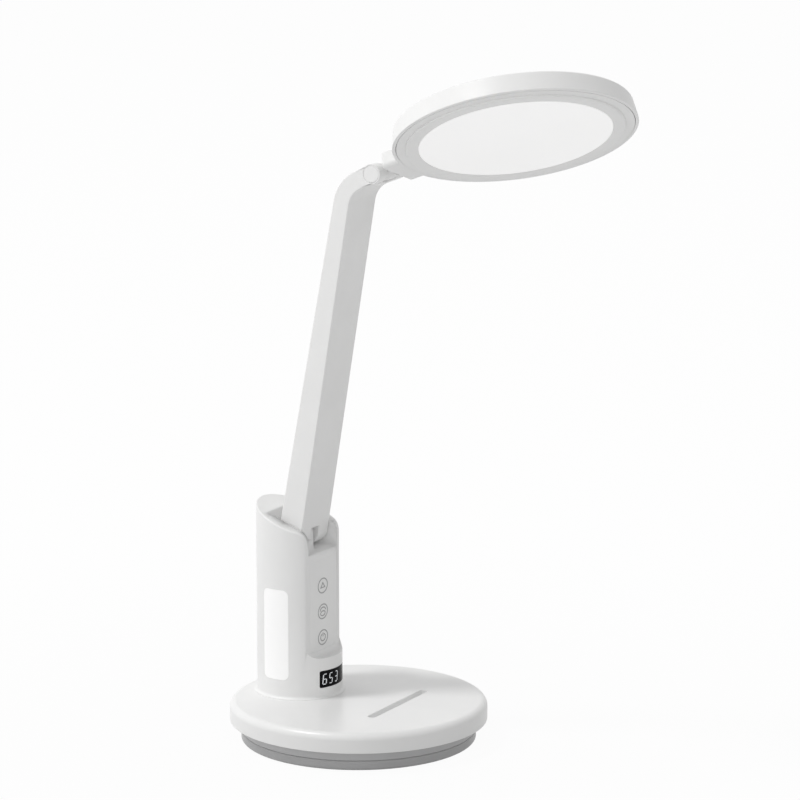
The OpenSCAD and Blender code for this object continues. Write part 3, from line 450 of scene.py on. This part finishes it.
def make_material(slot):
    """The material of one of the record's slots, or of a variant of one."""
    look = bpy.context.scene.lamp_finish
    recipes = {
        "white_plastic": lambda: plastic(slot, look.shell_white, look.shell_roughness),
        "base_white": lambda: plastic(slot, look.base_white, look.base_roughness, spread=0.05, bump=0.05),
        "tray_grey": lambda: plastic(slot, look.tray_grey, 0.45, bump=0.2, shade=0.95),
        "grey_plastic": lambda: plastic(slot, look.bottom_grey, 0.42, bump=0.2, shade=0.94),
        "dark_plastic": lambda: plastic(slot, (0.035, 0.035, 0.04), 0.5, bump=0.2, shade=0.8),
        "bush_plastic": lambda: plastic(slot, (0.62, 0.58, 0.48), 0.35, shade=0.92),
        "battery_wrap": lambda: plastic(slot, (0.03, 0.14, 0.33), 0.25, shade=0.8),
        "cable_rubber": lambda: plastic(slot, (0.05, 0.05, 0.05), 0.6, bump=0.3, shade=0.8),
        "foam_pad": lambda: plastic(slot, (0.045, 0.045, 0.047), 0.85, grain=1400.0, bump=0.9, shade=0.7),
        "key_print": lambda: plastic(slot, look.print_grey, 0.5, grain=5000.0, shade=0.9),
        "reflector_white": lambda: plastic(slot, (0.9, 0.9, 0.9), 0.5, shade=0.99),
        "light_chip": lambda: plastic(slot, (0.85, 0.7, 0.2), 0.4, shade=0.9),
        "display_black": lambda: plastic(
            slot, look.display_black, 0.2, spread=0.04, bump=0.01, shade=0.6, specular_ior_level=0.06
        ),
        "display_light": lambda: plastic(
            slot, look.digit_white, 0.4,
            emission_color=rgba(look.digit_white), emission_strength=look.digit_glow,
        ),
        "night_lens": lambda: lit_plastic(slot, look.lens_white, look.night_glow, 0.3),
        "diffuser_milk": lambda: lit_plastic(slot, look.lens_white, look.diffuser_glow, 0.38),
        "guide_clear": lambda: plastic(
            slot, (0.93, 0.95, 0.97), 0.05, spread=0.02, bump=0.02, transmission_weight=1.0
        ),
        "ballast_steel": lambda: metal(slot, (0.46, 0.46, 0.47), 0.42, 1500.0),
        "screw_steel": lambda: metal(slot, (0.62, 0.62, 0.64), 0.28),
        "pin_steel": lambda: metal(slot, (0.66, 0.66, 0.67), 0.22),
        "port_metal": lambda: metal(slot, (0.58, 0.58, 0.6), 0.26, 5000.0),
        "circuit_board": lambda: circuit_board(slot),
    }
    material = recipes[slot]()
    material["lamp_slot"] = slot
    return material


def finish_of(slot):
    """The finished material of a slot, made once."""
    for material in bpy.data.materials:
        if material.get("lamp_slot") == slot:
            return material
    return make_material(slot)


slots_by_node = {
    name: solid.data.materials[0].name.split(".")[0] for name, solid in frame["nodes"].items()
}


# Pieces


def dress(*names):
    """Gives solids that keep their shape their finished material."""
    for name in names:
        solid = frame["nodes"][name]
        solid.material_slots[0].link = "DATA"
        solid.data.materials[0] = finish_of(slots_by_node[name])


def settle(piece, node):
    """Lets a finished piece ride with a solid's body, and stand for the solid."""
    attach(piece, frame["nodes"][node]["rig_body"])
    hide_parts(node)
    return piece


def link(name, mesh):
    """A new object at the origin."""
    made = bpy.data.objects.new(name, mesh)
    bpy.context.scene.collection.objects.link(made)
    return made


def bake_modifiers(piece):
    """Replaces a piece's mesh by the result of its modifiers."""
    depsgraph = bpy.context.evaluated_depsgraph_get()
    result = bpy.data.meshes.new_from_object(piece.evaluated_get(depsgraph))
    piece.modifiers.clear()
    piece.data = result
    return piece


def is_sharp(edge):
    """True for an edge between two faces that meet at a clear angle."""
    return len(edge.link_faces) == 2 and edge.calc_face_angle() > SHARP_ANGLE


def sharp_runs(shape):
    """Runs of sharp edges that touch each other."""
    runs = []
    seen = set()
    for first in shape.edges:
        if first in seen or not is_sharp(first):
            continue
        seen.add(first)
        run = [first]
        for edge in run:
            for other in [*edge.verts[0].link_edges, *edge.verts[1].link_edges]:
                if other not in seen and is_sharp(other):
                    seen.add(other)
                    run.append(other)
        runs.append(run)
    return runs


def run_near(shape, place):
    """The run of sharp edges nearest to a point, in millimetres."""
    point = Vector(place) * MM

    def gap(run):
        return min((vert.co - point).length for edge in run for vert in edge.verts)

    return min(sharp_runs(shape), key=gap)


# A rounding has a radius, points near its edges and a height that they lie above;
# without points, it takes all the sharp edges
Rounding = namedtuple("Rounding", "radius places above", defaults=((), -math.inf))


def edges_to_round(shape, rounding):
    """The outward edges that a rounding takes."""
    if rounding.places:
        runs = [run_near(shape, place) for place in rounding.places]
    else:
        runs = sharp_runs(shape)
    found = {}
    for edge in [edge for run in runs for edge in run if edge.is_convex]:
        if edge.verts[0].co.z + edge.verts[1].co.z > 2 * MM * rounding.above:
            found[edge] = True
    return list(found)


def crowding(edge, room):
    """The smooth edges that run beside a sharp one, nearer than its rounding needs."""
    start = edge.verts[0].co
    way = (edge.verts[1].co - start).normalized()
    found = []
    for face in edge.link_faces:
        for other in face.edges:
            if other is edge or is_sharp(other) or len(other.link_faces) != 2:
                continue
            ends = [vert.co - start for vert in other.verts]
            along = (ends[1] - ends[0]).normalized()
            middle = (ends[0] + ends[1]) / 2
            gap = (middle - way * middle.dot(way)).length
            if abs(along.dot(way)) > ALONGSIDE_COSINE and gap < room:
                found.append(other)
    return found


def round_edges(shape, rounding):
    """Rounds edges of a solid, joining narrow strips of a wall where they leave too little room."""
    room = ROOM_PER_RADIUS * rounding.radius
    for _ in range(JOINING_ROUNDS):
        edges = edges_to_round(shape, rounding)
        narrow = dict.fromkeys(other for edge in edges for other in crowding(edge, room))
        if not narrow:
            break
        bmesh.ops.dissolve_edges(shape, edges=list(narrow), use_verts=True)
    bmesh.ops.connect_verts_concave(shape, faces=shape.faces)
    bmesh.ops.bevel(
        shape, geom=edges_to_round(shape, rounding), offset=rounding.radius, profile=0.5, affect="EDGES",
        segments=bpy.context.scene.lamp_edges.steps, clamp_overlap=False, offset_type="OFFSET",
    )


def mark_wide_faces(shape):
    """Marks wide flat stretches, so that their normals hold up to the rounded edges beside them."""
    strength = shape.faces.layers.int.new(STRENGTH_LAYER)
    seen = set()
    for first in shape.faces:
        if first in seen:
            continue
        seen.add(first)
        stretch = [first]
        for face in stretch:
            for other in [other for edge in face.edges for other in edge.link_faces]:
                if other not in seen and other.normal.dot(first.normal) > math.cos(2 * FLAT_ANGLE):
                    seen.add(other)
                    stretch.append(other)
        wide = sum(face.calc_area() for face in stretch) > WIDE_AREA
        for face in stretch:
            face[strength] = STRONG if wide else WEAK


def rounded(node, *roundings, finish=None):
    """A copy of a solid, with rounded edges, that stands for it."""
    mesh = bpy.data.meshes.new(node + "_rounded")
    shape = bmesh.new()
    shape.from_mesh(frame["nodes"][node].data)
    bmesh.ops.remove_doubles(shape, verts=shape.verts, dist=MERGE_DISTANCE)
    bmesh.ops.dissolve_limit(shape, angle_limit=FLAT_ANGLE, verts=shape.verts, edges=shape.edges)
    for rounding in roundings:
        round_edges(shape, rounding)
    for face in shape.faces:
        face.smooth = True
    mark_wide_faces(shape)
    shape.to_mesh(mesh)
    shape.free()
    mesh.materials.append(finish_of(finish or slots_by_node[node]))
    mesh.set_sharp_from_angle(angle=SMOOTH_ANGLE)
    piece = link(node + "_rounded", mesh)
    weighted = piece.modifiers.new("Flat Faces", "WEIGHTED_NORMAL")
    weighted.keep_sharp = True
    weighted.use_face_influence = True
    bake_modifiers(piece)
    return settle(piece, node)


def cross_head_screws_tree():
    """Geometry nodes that set a cross-head screw on each point of a mesh."""
    group, start, end = new_group(
        "Cross Head Screws", "GeometryNodeTree",
        [
            ("Places", GEOMETRY, None),
            ("Direction", VECTOR, (0.0, 0.0, 1.0)),
            ("Head Radius", NUMBER, 2.5 * MM),
            ("Head Height", NUMBER, 1.6 * MM),
            ("Shank Radius", NUMBER, 1.3 * MM),
            ("Shank Length", NUMBER, 7.0 * MM),
            ("Material", MATERIAL, None),
        ],
        [("Screws", GEOMETRY)],
    )

    def product(socket, factor):
        made = add_node(group, "ShaderNodeMath", {1: factor}, operation="MULTIPLY")
        wire(group, (socket, made.inputs[0]))
        return made.outputs[0]

    def vector(x=None, y=None, z=None):
        made = add_node(group, "ShaderNodeCombineXYZ")
        for axis, socket in zip("XYZ", (x, y, z)):
            if socket:
                wire(group, (socket, made.inputs[axis]))
        return made.outputs[0]

    def moved(mesh, height):
        made = add_node(group, "GeometryNodeTransform")
        wire(group, (mesh, made.inputs["Geometry"]), (vector(z=height), made.inputs["Translation"]))
        return made.outputs[0]

    head_radius = start.outputs["Head Radius"]
    head_height = start.outputs["Head Height"]
    shank_radius = start.outputs["Shank Radius"]
    shank_length = start.outputs["Shank Length"]

    # The head lies below zero and faces down, with a chamfered rim
    disc = add_node(group, "GeometryNodeMeshCylinder", {"Vertices": HEAD_SIDES})
    rim = add_node(group, "GeometryNodeMeshCone", {"Vertices": HEAD_SIDES})
    wire(
        group,
        (head_radius, disc.inputs["Radius"]),
        (product(head_height, 1 - RIM_HEIGHT), disc.inputs["Depth"]),
        (product(head_radius, RIM_RADIUS), rim.inputs["Radius Bottom"]),
        (head_radius, rim.inputs["Radius Top"]),
        (product(head_height, RIM_HEIGHT), rim.inputs["Depth"]),
    )
    solid = add_node(group, "GeometryNodeMeshBoolean", operation="UNION", solver="EXACT")
    wire(
        group,
        (moved(disc.outputs["Mesh"], product(head_height, (RIM_HEIGHT - 1) / 2)), solid.inputs["Mesh 2"]),
        (moved(rim.outputs["Mesh"], product(head_height, -1.0)), solid.inputs["Mesh 2"]),
    )

    # The recess is cut by two crossing bars
    head = add_node(group, "GeometryNodeMeshBoolean", operation="DIFFERENCE", solver="EXACT")
    wire(group, (solid.outputs["Mesh"], head.inputs["Mesh 1"]))
    long_side = product(head_radius, RECESS_LENGTH)
    short_side = product(head_radius, RECESS_WIDTH)
    bar_height = product(head_height, RECESS_HEIGHT)
    for width, depth in ((long_side, short_side), (short_side, long_side)):
        bar = add_node(group, "GeometryNodeMeshCube")
        wire(
            group,
            (vector(width, depth, bar_height), bar.inputs["Size"]),
            (moved(bar.outputs["Mesh"], product(head_height, -1.0)), head.inputs["Mesh 2"]),
        )

    # The shank ends in a point
    stem = add_node(group, "GeometryNodeMeshCylinder", {"Vertices": SHANK_SIDES})
    point = add_node(group, "GeometryNodeMeshCone", {"Vertices": SHANK_SIDES})
    wire(
        group,
        (shank_radius, stem.inputs["Radius"]),
        (product(shank_length, 1 - POINT_LENGTH), stem.inputs["Depth"]),
        (shank_radius, point.inputs["Radius Bottom"]),
        (product(shank_radius, POINT_RADIUS), point.inputs["Radius Top"]),
        (product(shank_length, POINT_LENGTH), point.inputs["Depth"]),
    )

    screw = add_node(group, "GeometryNodeJoinGeometry")
    turn = add_node(group, "FunctionNodeAlignRotationToVector", axis="Z")
    copies = add_node(group, "GeometryNodeInstanceOnPoints")
    real = add_node(group, "GeometryNodeRealizeInstances")
    finish = add_node(group, "GeometryNodeSetMaterial")
    wire(
        group,
        (head.outputs["Mesh"], screw.inputs[0]),
        (moved(stem.outputs["Mesh"], product(shank_length, (1 - POINT_LENGTH) / 2)), screw.inputs[0]),
        (moved(point.outputs["Mesh"], product(shank_length, 1 - POINT_LENGTH)), screw.inputs[0]),
        (start.outputs["Direction"], turn.inputs["Vector"]),
        (start.outputs["Places"], copies.inputs["Points"]),
        (screw.outputs[0], copies.inputs["Instance"]),
        (turn.outputs["Rotation"], copies.inputs["Rotation"]),
        (copies.outputs["Instances"], real.inputs["Geometry"]),
        (real.outputs["Geometry"], finish.inputs["Geometry"]),
        (start.outputs["Material"], finish.inputs["Material"]),
        (finish.outputs["Geometry"], end.inputs["Screws"]),
    )
    return group


def grow(name, places, tree, values):
    """A mesh that a tree of geometry nodes makes on points, in millimetres."""
    mesh = bpy.data.meshes.new(name)
    mesh.from_pydata([Vector(place) * MM for place in places], [], [])
    piece = link(name, mesh)
    modifier = piece.modifiers.new(tree.name, "NODES")
    modifier.node_group = tree
    sockets = {item.name: item.identifier for item in tree.interface.items_tree if item.in_out == "INPUT"}
    for title, value in values.items():
        modifier[sockets[title]] = value
    bake_modifiers(piece)
    piece.data.shade_smooth()
    piece.data.set_sharp_from_angle(angle=SMOOTH_ANGLE)
    return piece


def screws(node, places, direction, head=(2.5, 1.6), shank=(1.3, 7.0)):
    """Cross-head screws for a node's plain ones; a head and a shank are a radius and a length."""
    tree = bpy.data.node_groups.get("Cross Head Screws") or cross_head_screws_tree()
    values = {
        "Direction": direction,
        "Head Radius": head[0] * MM,
        "Head Height": head[1] * MM,
        "Shank Radius": shank[0] * MM,
        "Shank Length": shank[1] * MM,
        "Material": finish_of(slots_by_node[node]),
    }
    return settle(grow(node + "_cross_head", places, tree, values), node)


class LAMP_OT_base(bpy.types.Operator):
    """Round the base's shells and finish what they hold"""

    bl_idname = "lamp.base"
    bl_label = "Base"

    def execute(self, context):
        edges = context.scene.lamp_edges
        rounded("base_cover", Rounding(edges.cover))
        rounded("base_tray", Rounding(edges.tray), finish="tray_grey")
        rounded("base_bottom", Rounding(edges.bottom, [PARTING_EDGE]))
        screws("base_screws", BASE_SCREWS, UPWARDS)
        dress("base_pad", "base_weight", "main_board", "charge_port")
        return {"FINISHED"}


class LAMP_OT_column(bpy.types.Operator):
    """Round the column and finish its hinge and battery"""

    bl_idname = "lamp.column"
    bl_label = "Column"

    def execute(self, context):
        edges = context.scene.lamp_edges
        rounded(
            "column_shell",
            Rounding(edges.column, [COLUMN_RIM], RAMP_TOP),
            Rounding(edges.ledge, [FLAT_LEDGE]),
            Rounding(edges.window, [NIGHT_OPENING, CLOCK_OPENING]),
        )
        rounded("hinge_lug", Rounding(edges.neck))
        screws("column_screws", COLUMN_SCREWS, UPWARDS)
        screws("hinge_screws", HINGE_SCREWS, UPWARDS, head=(2.1, 1.2), shank=(1.0, 5.3))
        dress("battery_holder", "battery_cell", "arm_pin", "arm_washers")
        return {"FINISHED"}


class LAMP_OT_controls(bpy.types.Operator):
    """Finish the touch keys, the clock and the night light"""

    bl_idname = "lamp.controls"
    bl_label = "Controls"

    def execute(self, context):
        edges = context.scene.lamp_edges
        rounded("display_window", Rounding(edges.lens))
        rounded("night_light_lens", Rounding(edges.lens))
        dress("control_panel", "key_marks", "touch_board", "display_digits", "display_module")
        dress("night_light_board", "night_light_leds")
        return {"FINISHED"}


class LAMP_OT_arm(bpy.types.Operator):
    """Round the arm and finish what it carries"""

    bl_idname = "lamp.arm"
    bl_label = "Arm"

    def execute(self, context):
        edges = context.scene.lamp_edges
        rounded("arm_body", Rounding(edges.arm))
        rounded("arm_back_cover", Rounding(edges.trim))
        rounded("tip_caps", Rounding(edges.trim))
        screws("arm_screws", ARM_SCREWS, INTO_THE_ARM, head=(2.5, 1.0), shank=(1.3, 3.9))
        dress("arm_cable", "tip_pin", "tip_washers")
        return {"FINISHED"}


class LAMP_OT_neck(bpy.types.Operator):
    """Round the knuckle between arm and head"""

    bl_idname = "lamp.neck"
    bl_label = "Neck"

    def execute(self, context):
        rounded("neck_knuckle", Rounding(context.scene.lamp_edges.neck))
        dress("swivel_clip", "swivel_bush")
        return {"FINISHED"}


class LAMP_OT_head(bpy.types.Operator):
    """Round the head's shells and finish its light"""

    bl_idname = "lamp.head"
    bl_label = "Head"

    def execute(self, context):
        edges = context.scene.lamp_edges
        rounded("head_shell", Rounding(edges.head, [HEAD_LIP, *TAB_EDGES]))
        rounded("head_bezel", Rounding(edges.trim, BEZEL_EDGES))
        rounded("diffuser", Rounding(edges.trim))
        dress("light_guide", "reflector_sheet", "led_strip", "led_chips", "pressure_pad")
        return {"FINISHED"}


# Stage


def background_factor(tree):
    """A socket that is 1 for rays that should see the white background."""
    rays = add_node(tree, "ShaderNodeLightPath")
    shiny = add_node(tree, "ShaderNodeMath", operation="MAXIMUM")
    seen = add_node(tree, "ShaderNodeMath", operation="MAXIMUM")
    wire(
        tree,
        (rays.outputs["Is Glossy Ray"], shiny.inputs[0]),
        (rays.outputs["Is Transmission Ray"], shiny.inputs[1]),
        (rays.outputs["Is Camera Ray"], seen.inputs[0]),
        (shiny.outputs[0], seen.inputs[1]),
    )
    return seen.outputs[0]


def floor_material():
    """Floor that shows as the white background, keeps a faint shadow and is greyer near the lamp, a
    painted shade that dims the light it throws back.
    """
    material = bpy.data.materials.new("studio_floor")
    material.use_nodes = True
    tree = material.node_tree
    tree.nodes.remove(tree.nodes["Principled BSDF"])
    place = add_node(tree, "ShaderNodeTexCoord")
    reach = add_node(tree, "ShaderNodeVectorMath", operation="LENGTH")
    # Painted shade: the floor's tone is greyer near the lamp, dimming the light that it throws back onto
    # the lamp's lower parts
    tone = add_node(
        tree, "ShaderNodeMapRange",
        {
            "From Min": FLOOR_REACH[0],
            "From Max": FLOOR_REACH[1],
            "To Min": FLOOR_PAINTED_SHADE_TONES[0],
            "To Max": FLOOR_PAINTED_SHADE_TONES[1],
        },
    )
    matt = add_node(tree, "ShaderNodeBsdfDiffuse")
    white = add_node(tree, "ShaderNodeEmission", {"Color": WHITE, "Strength": 1.0})
    share = add_node(tree, "ShaderNodeMath", {1: FLOOR_WHITENESS}, operation="MULTIPLY")
    mix = add_node(tree, "ShaderNodeMixShader")
    wire(
        tree,
        (place.outputs["Object"], reach.inputs[0]),
        (reach.outputs["Value"], tone.inputs["Value"]),
        (tone.outputs["Result"], matt.inputs["Color"]),
        (background_factor(tree), share.inputs[0]),
        (share.outputs[0], mix.inputs["Fac"]),
        (matt.outputs[0], mix.inputs[1]),
        (white.outputs[0], mix.inputs[2]),
        (mix.outputs[0], tree.nodes["Material Output"].inputs["Surface"]),
    )
    return material


def studio_world(horizon_level, slope):
    """White surroundings whose light on the lamp changes along a slope."""
    world = bpy.data.worlds.new("studio")
    world.use_nodes = True
    tree = world.node_tree
    ground = tree.nodes["Background"]
    ground.inputs["Color"].default_value = WHITE
    way = add_node(tree, "ShaderNodeTexCoord")
    side = add_node(tree, "ShaderNodeVectorMath", {1: slope}, operation="DOT_PRODUCT")
    level = add_node(tree, "ShaderNodeMath", {1: horizon_level}, operation="ADD")
    strength = add_node(tree, "ShaderNodeMix", {"B": 1.0}, data_type="FLOAT")
    wire(
        tree,
        (way.outputs["Generated"], side.inputs[0]),
        (side.outputs["Value"], level.inputs[0]),
        (background_factor(tree), strength.inputs["Factor"]),
        (level.outputs[0], strength.inputs["A"]),
        (strength.outputs["Result"], ground.inputs["Strength"]),
    )
    return world


def direction(azimuth, elevation):
    """A direction round the lamp, from the front, and above the horizon."""
    level = math.cos(elevation)
    return Vector((math.sin(azimuth) * level, -math.cos(azimuth) * level, math.sin(elevation)))


def soft_light(name, power, size, place, target):
    """Adds a square soft box that faces a point."""
    light = bpy.data.lights.new(name, "AREA")
    light.energy = power
    light.size = size
    lamp = link(name, light)
    lamp.location = place
    lamp.rotation_euler = (target - place).to_track_quat("-Z", "Y").to_euler()


class LAMP_OT_stage(bpy.types.Operator):
    """Set up the floor, the lights and the camera"""

    bl_idname = "lamp.stage"
    bl_label = "Stage"

    def execute(self, context):
        scene = context.scene
        studio = scene.lamp_stage
        target = Vector(studio.look_at)
        back = direction(studio.azimuth, studio.elevation)
        left = direction(studio.azimuth - math.radians(90.0), 0.0)

        camera = link("camera", bpy.data.cameras.new("camera"))
        camera.data.lens = studio.lens
        camera.data.sensor_width = SENSOR_WIDTH
        camera.location = target + back * studio.distance
        camera.rotation_euler = (-back).to_track_quat("-Z", "Y").to_euler()
        scene.camera = camera

        key_place = target + studio.key_distance * direction(studio.key_azimuth, studio.key_elevation)
        soft_light("key_light", studio.key_power, studio.key_size, key_place, target)

        bpy.ops.mesh.primitive_plane_add(size=FLOOR_SIZE, location=(0.0, 0.0, FLOOR_HEIGHT))
        floor = context.object
        floor.name = "floor"
        floor.data.materials.append(floor_material())

        slope = studio.left_gain * left
        slope.z = studio.ceiling_level - studio.horizon_level
        scene.world = studio_world(studio.horizon_level, slope)
        scene.view_settings.view_transform = "Standard"
        return {"FINISHED"}


class LAMP_PT_sidebar(bpy.types.Panel):
    """Settings and building steps of the lamp"""

    bl_idname = "LAMP_PT_sidebar"
    bl_label = "Desk Lamp"
    bl_space_type = "VIEW_3D"
    bl_region_type = "UI"
    bl_category = "Lamp"

    def draw(self, context):
        layout = self.layout
        scene = context.scene
        for settings in (scene.lamp_finish, scene.lamp_edges, scene.lamp_stage):
            for name in settings.__annotations__:
                layout.prop(settings, name)
        for step in STEPS:
            layout.operator(step.bl_idname)


SETTINGS = (
    ("lamp_finish", LampFinish),
    ("lamp_edges", LampEdges),
    ("lamp_stage", LampStage),
)
STEPS = (
    LAMP_OT_stage,
    LAMP_OT_base,
    LAMP_OT_column,
    LAMP_OT_controls,
    LAMP_OT_arm,
    LAMP_OT_neck,
    LAMP_OT_head,
)


def register():
    for name, settings in SETTINGS:
        bpy.utils.register_class(settings)
        setattr(bpy.types.Scene, name, PointerProperty(type=settings))
    for step in STEPS:
        bpy.utils.register_class(step)
    bpy.utils.register_class(LAMP_PT_sidebar)


def unregister():
    bpy.utils.unregister_class(LAMP_PT_sidebar)
    for step in reversed(STEPS):
        bpy.utils.unregister_class(step)
    for name, settings in reversed(SETTINGS):
        delattr(bpy.types.Scene, name)
        bpy.utils.unregister_class(settings)


def run_step(step):
    """Calls a building step through its operator."""
    area, name = step.bl_idname.split(".")
    getattr(getattr(bpy.ops, area), name)()


def main():
    register()
    for step in STEPS:
        run_step(step)


if __name__ == "__main__":
    main()
